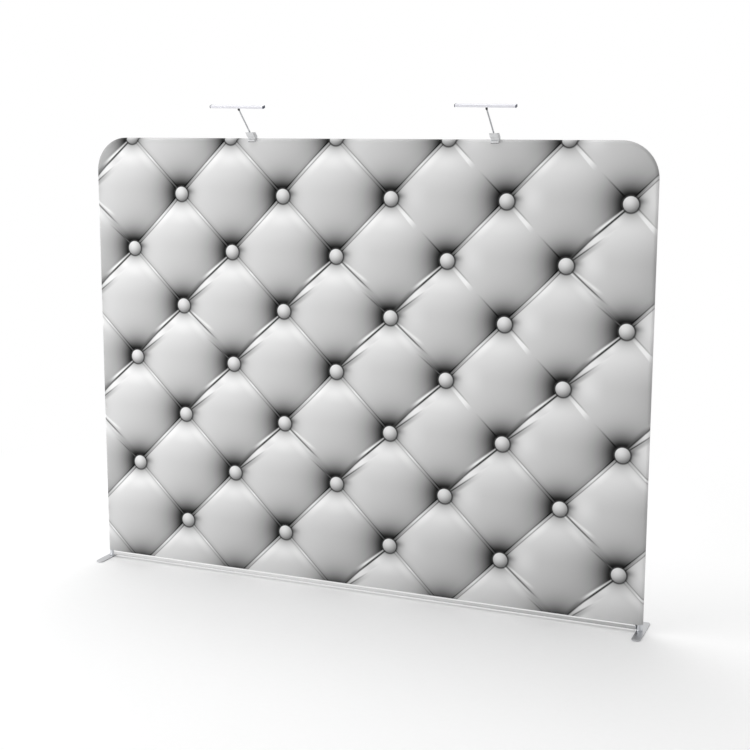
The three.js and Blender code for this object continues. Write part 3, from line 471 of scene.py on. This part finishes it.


# Hem. The closing flap, sewn on behind the piping at the print's lower edge and drawn under the
# bottom rail to the zip behind. Its cloth is coloured a pale grey as painted shade: the shade that
# lies under the display's lower edge.
hem_fabric = knit_cloth("pale grey stretch polyester", "#D3D3D3", "#D0D0D0", "#D6D6D6")
flap = bmesh.new()
edge = flap.edges.new([flap.verts.new((x, middle - WRAP - SEAM, HEM_EDGE)) for x in (-HEM_X, HEM_X)])
# From the print's edge down to the rail's height, half round under the rail, and up again behind.
for drop_to in (BOTTOM_RAIL, None, HEM_EDGE):
    if drop_to is None:
        swept = bmesh.ops.spin(flap, geom=[edge, *edge.verts], cent=(0, middle, BOTTOM_RAIL), axis=(1, 0, 0),
                               angle=math.pi, steps=18)["geom_last"]
    else:
        swept = bmesh.ops.extrude_edge_only(flap, edges=[edge])["geom"]
        for vert in (part for part in swept if isinstance(part, bmesh.types.BMVert)):
            vert.co.z = drop_to
    edge = next(part for part in swept if isinstance(part, bmesh.types.BMEdge)
                and abs(part.verts[0].co.x - part.verts[1].co.x) > HEM_X)
bmesh.ops.remove_doubles(flap, verts=flap.verts, dist=SAME_PLACE)
bmesh.ops.recalc_face_normals(flap, faces=flap.faces)
if min(flap.faces, key=lambda face: face.calc_center_median().z).normal.z > 0:
    bmesh.ops.reverse_faces(flap, faces=flap.faces)
hem = solid("hem_flap", flap, hem_fabric, "frame", "cover_hem", slot="plain_fabric")
thickened(hem, CLOTH)


# Zip. A nylon coil zip on a woven tape joins the hem to the back sheet, sewn down by a row of
# stitches at each edge. Its slider is a small moulding with a flat pull.
TAPE_WIDTH, TAPE_RISE = 24 * MM, 0.25 * MM
COIL, COIL_TURN = 5 * MM, 1.5 * MM
STITCH, STITCH_ROW, THREAD = 3 * MM, 9 * MM, 0.8 * MM
# Moulded nylon: white, with the low gloss of a small die-cast shape.
white_nylon, tree, shader = finish_named("white nylon", "#E9E9E8", Roughness=0.45)
let_show(tree, shader, speckle(tree, 900), "#E2E2E1", "#EFEFEE", relief=(0.05 * MM, 0.5))

# Woven tape: a fine twill, with the coil's turns as ridges along its middle and a dashed line of
# stitches at each edge.
zip_weave, tree, shader = finish_named("woven polyester tape", "#DEDEDE", Roughness=0.75)
place = add(tree, "TexCoord", out="Object")
x, z = (add(tree, "SeparateXYZ", (place,), axis) for axis in "XZ")
away = add(tree, "Math ABSOLUTE", (add(tree, "Math SUBTRACT", (z, HEM_EDGE)),))
coil = add(tree, "Math LESS_THAN", (away, COIL / 2))
turns, dashes = (add(tree, "Math SINE", (add(tree, "Math MULTIPLY", (x, 2 * math.pi / pitch)),))
                 for pitch in (COIL_TURN, STITCH))
seam_row = add(tree, "Math COMPARE", (away, STITCH_ROW, THREAD / 2))
thread = add(tree, "Math MULTIPLY", (seam_row, add(tree, "Math GREATER_THAN", (dashes, -0.5))))
twill = speckle(tree, 1200)
height = add(tree, "Math MULTIPLY_ADD", (coil, add(tree, "Math MULTIPLY_ADD", (turns, 0.5, 1)), twill))
height = add(tree, "Math MULTIPLY_ADD", (thread, 0.8, height))
let_show(tree, shader, add(tree, "Math MULTIPLY", (height, 0.4)), "#C4C4C4", "#F0F0F0")
add(tree, "Bump", {"Height": height, "Distance": 0.4 * MM, "Strength": 0.6}, "Normal", shader.inputs["Normal"])

tape = bmesh.new()
bmesh.ops.create_cube(tape, size=1)
bmesh.ops.transform(tape, verts=tape.verts, matrix=Matrix.Translation(
    (0, middle + WRAP + SEAM + TAPE_RISE / 2, HEM_EDGE)) @ Matrix.Diagonal((2 * HEM_X, TAPE_RISE, TAPE_WIDTH, 1)))
bmesh.ops.bevel(tape, geom=tape.edges, affect="EDGES", offset=0.1 * MM, segments=2, profile=0.5, material=-1)
solid("zip_tape", tape, zip_weave, "frame", slot="zip_nylon")


def merged(node):
    """A copy of a CAD node's shape, its triangles joined into whole faces."""
    shape = bmesh.new()
    shape.from_mesh(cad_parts[node].data)
    bmesh.ops.remove_doubles(shape, verts=shape.verts, dist=SAME_PLACE)
    bmesh.ops.dissolve_limit(shape, angle_limit=math.radians(1), verts=shape.verts, edges=shape.edges)
    return shape


def finer(name, node, material, body, edge, slot, smooth=40):
    """A CAD node's shape with its sharp edges rounded."""
    piece = solid(name, merged(node), material, body, node, slot=slot, smooth=smooth)
    rounded(piece, edge)
    return piece


finer("zip_slider_body", "zip_slider", white_nylon, "zip_slider", 0.4 * MM, "zip_nylon")
finer("zip_pull_tab", "zip_pull", white_nylon, "zip_pull", 0.3 * MM, "zip_nylon")


# Lamps. Two on the top rail, each on a moulded clamp that hooks over the rail and is screwed tight
# behind. A drawn arm tilts in the clamp, and at its tip a knuckle carries the head: an enamelled
# channel with a strip of diodes above an opal cover, closed by two caps.
TOP_RAIL = 2315.8 * MM
ARM_AHEAD, ARM_UP, ARM_LENGTH, ARM_TILT = 26.5 * MM, 34.5 * MM, 180 * MM, math.radians(46)
KNUCKLE, SHADED_LIP_TOP = 12 * MM, 0.5 * MM
# Moulded ABS, pale grey and slightly speckled by its mould.
grey_plastic, tree, shader = finish_named("moulded pale grey ABS", "#CDCECF", Roughness=0.5)
let_show(tree, shader, speckle(tree, 900), "#C6C7C8", "#D4D5D6", relief=(0.06 * MM, 0.5))
# Drawn aluminium rod: satin, with the die's lines along it.
drawn_rod, tree, shader = finish_named("drawn satin aluminium", "#C4C5C8", Metallic=1, Roughness=0.38)
let_show(tree, shader, speckle(tree, 700, (1, 1, 0.02), ARM_TILT), "#B8B9BC", "#D0D1D4", gloss=(0.3, 0.45))
# Blackened steel: an oiled black oxide, dark with a faint shine.
black_oxide, tree, shader = finish_named("black oxide steel", "#1A1A1C", Metallic=1, Roughness=0.45)
let_show(tree, shader, speckle(tree, 500), "#141416", "#242427")
# Moulded ABS in navy: the one colour on the stand, a little glossier than the clamp.
navy_plastic, tree, shader = finish_named("moulded navy ABS", "#0A193B", Roughness=0.38)
let_show(tree, shader, speckle(tree, 900), "#081533", "#0F2044", relief=(0.05 * MM, 0.4))
# Baked enamel on an extrusion: cool white, smooth, with the least orange peel.
white_enamel, tree, shader = finish_named("white enamelled aluminium", "#D6D6DC", Roughness=0.3)
let_show(tree, shader, speckle(tree, 500), "#D3D3D9", "#DADAE0", relief=(0.03 * MM, 0.4))
# Opal acrylic: milky, so the diodes don't show through.
milky_acrylic, tree, shader = finish_named("opal acrylic", "#EDEDEA", Roughness=0.3, Transmission_Weight=0.3)
let_show(tree, shader, speckle(tree, 300), "#EAEAE6", "#F1F1EE")
# White solder mask over copper: faintly green at its tracks.
board_white, tree, shader = finish_named("white solder mask", "#DFE6DD", Roughness=0.5)
let_show(tree, shader, speckle(tree, 300), "#D6DED4", "#E6ECE4")

# The clamp's face: how far it is moved back, in millimetres, at each height over the rail's centre,
# to give it a rounded lip with a hollow above. The face is what lies ahead of a slightly leaning line.
FACE = ((-1.7, 7), (0.5, 3.5), (3, 0.5), (6, -2), (8.5, -2.5), (10, -1), (11.5, 3), (13.5, 7), (16.5, 9), (20, 9.5),
        (23, 8.5), (25.5, 5), (27.5, 0.5), (29, 0))
FACE_AHEAD, FACE_LEAN = 25, 0.1
knuckle_pin = Vector((0, middle - ARM_AHEAD - ARM_LENGTH * math.sin(ARM_TILT),
                      TOP_RAIL + ARM_UP + ARM_LENGTH * math.cos(ARM_TILT)))
for side in ("left", "right"):
    lamp = f"lamp_{side}"
    jaw = merged(f"{lamp}_clamp")
    for height, back in FACE:
        bmesh.ops.bisect_plane(jaw, geom=jaw.verts[:] + jaw.edges[:] + jaw.faces[:],
                               plane_co=(0, 0, TOP_RAIL + height * MM), plane_no=(0, 0, 1))
    for vert in jaw.verts:
        ahead, up = (middle - vert.co.y) / MM, (vert.co.z - TOP_RAIL) / MM
        for (low, from_back), (high, to_back) in zip(FACE, FACE[1:]):
            if ahead > FACE_AHEAD + FACE_LEAN * up and low - 0.01 <= up < high - 0.01:
                vert.co.y += (from_back + (to_back - from_back) * (up - low) / (high - low)) * MM
    clamp = solid(f"{lamp}_clamp_body", jaw, grey_plastic, f"{lamp}_clamp", f"{lamp}_clamp", slot="grey_plastic",
                  smooth=45)
    # Painted shade: the clamp's low faces that face down and forward take black rubber, drawn as a lining, to darken
    # the underside of the lip where it lies in shade.
    clamp.data.materials.append(black_rubber)
    for face in clamp.data.polygons:
        face.material_index = int(face.center.z < TOP_RAIL + SHADED_LIP_TOP and face.normal.y < -0.1)
    rounded(clamp, 0.6 * MM, angle=45)
    arm = finer(f"{lamp}_arm_rod", f"{lamp}_arm", drawn_rod, f"{lamp}_arm", 0.4 * MM, "satin_aluminium")
    arm.data.materials.append(black_plastic)
    for face in arm.data.polygons:
        face.material_index = int((face.center - knuckle_pin).yz.length < KNUCKLE)
    for word, node, finish, body, edge, slot_name, smooth in (
            ("knuckle_joint", "knuckle", black_plastic, "head", 0.4 * MM, "black_plastic", 40),
            ("housing_shell", "housing", white_enamel, "head", 0.3 * MM, "white_enamel", 60),
            ("end_cap_left", "cap_left", navy_plastic, "head", 0.4 * MM, "navy_plastic", 60),
            ("end_cap_right", "cap_right", navy_plastic, "head", 0.4 * MM, "navy_plastic", 60),
            ("knob_screw", "clamp_screw", black_plastic, "screw", 0.8 * MM, "black_plastic", 40)):
        finer(f"{lamp}_{word}", f"{lamp}_{node}", finish, f"{lamp}_{body}", edge, slot_name, smooth)
    for node, finish in (("arm_pin", zinc_steel), ("knuckle_pin", black_oxide), ("screw_pad", black_rubber),
                         ("diffuser", milky_acrylic), ("led_board", board_white)):
        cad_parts[f"{lamp}_{node}"].data.materials[0] = finish


# Studio. A white floor and a white surround, with light from all round. Two broad panels hang above
# and behind on the left, so the display's shadow falls softly to the front, and a low one lights the print.
FLOOR_HALF, SHADOW_REACH, WHITE_FROM = 60, 2.2, 4


def seen_directly(tree):
    """1 for what the camera sees straight, in a gloss or through glass."""
    path = tree.nodes.new("ShaderNodeLightPath")
    seen = path.outputs["Is Camera Ray"]
    for ray in ("Is Glossy Ray", "Is Transmission Ray"):
        seen = add(tree, "Math MAXIMUM", (seen, path.outputs[ray]))
    return seen


# Painted floor: matt white, and plain white from just beyond the display's shadow.
white_floor, tree, shader = finish_named("white studio floor", "#FFFFFF", Roughness=0.9, Specular_IOR_Level=0)
seen = seen_directly(tree)
let_show(tree, shader, speckle(tree, 40), "#F3F3F3", "#F6F6F6")
shader.inputs["Emission Color"].default_value = (1, 1, 1, 1)
add(tree, "Math MULTIPLY", (seen, 0.05), to=shader.inputs["Emission Strength"])
reach = add(tree, "VectorMath LENGTH", (add(tree, "TexCoord", out="Object"),), "Value")
far = add(tree, "MapRange", (reach, SHADOW_REACH, WHITE_FROM), interpolation_type="SMOOTHSTEP")
glow = add(tree, "Emission", {"Color": (1, 1, 1, 1), "Strength": 1})
add(tree, "MixShader", (add(tree, "Math MULTIPLY", (far, seen)), shader.outputs[0], glow),
    to=tree.nodes["Material Output"].inputs["Surface"])
ground = bmesh.new()
bmesh.ops.create_grid(ground, x_segments=1, y_segments=1, size=FLOOR_HALF)
floor_mesh = bpy.data.meshes.new("studio_floor")
ground.to_mesh(floor_mesh)
ground.free()
floor_mesh.materials.append(white_floor)
floor = bpy.data.objects.new("studio_floor", floor_mesh)
bpy.context.collection.objects.link(floor)

world = bpy.data.worlds.new("studio")
bpy.context.scene.world = world
world.use_nodes = True
tree = world.node_tree
surround = tree.nodes["Background"]
surround.inputs["Color"].default_value = (1, 1, 1, 1)
add(tree, "MapRange", {"Value": seen_directly(tree), "To Min": 0.64, "To Max": 1}, to=surround.inputs["Strength"])

for name, spot, aim, wide, deep, watts in (("back_panel", (-2.5, 4.4, 9), (-0.8, 0, 0), 8.3, 5.5, 120),
                                          ("top_panel", (-2.4, 0.7, 9), (-0.8, 0, 0), 8.3, 5.5, 385),
                                          ("front_panel", (-6, -8, 0.75), (0, 0, 0.9), 6, 1.3, 360)):
    panel = bpy.data.lights.new(name, "AREA")
    panel.shape, panel.size, panel.size_y, panel.energy = "RECTANGLE", wide, deep, watts
    light = bpy.data.objects.new(name, panel)
    light.location = spot
    light.rotation_euler = (Vector(aim) - Vector(spot)).to_track_quat("-Z", "Y").to_euler()
    bpy.context.collection.objects.link(light)

# The camera stands at the right, a little above the cover's top, and looks slightly down.
lens = bpy.data.cameras.new("photo_camera")
lens.lens, lens.sensor_width = 65.471, 36
lens.shift_x, lens.shift_y = 0.02973, -0.03227
camera = bpy.data.objects.new("photo_camera", lens)
camera.location = (2.6685, -6.2452, 2.4146)
camera.rotation_euler = (math.radians(80.475), 0, math.radians(23.142))
bpy.context.collection.objects.link(camera)
bpy.context.scene.camera = camera
bpy.context.scene.view_settings.view_transform = "Standard"
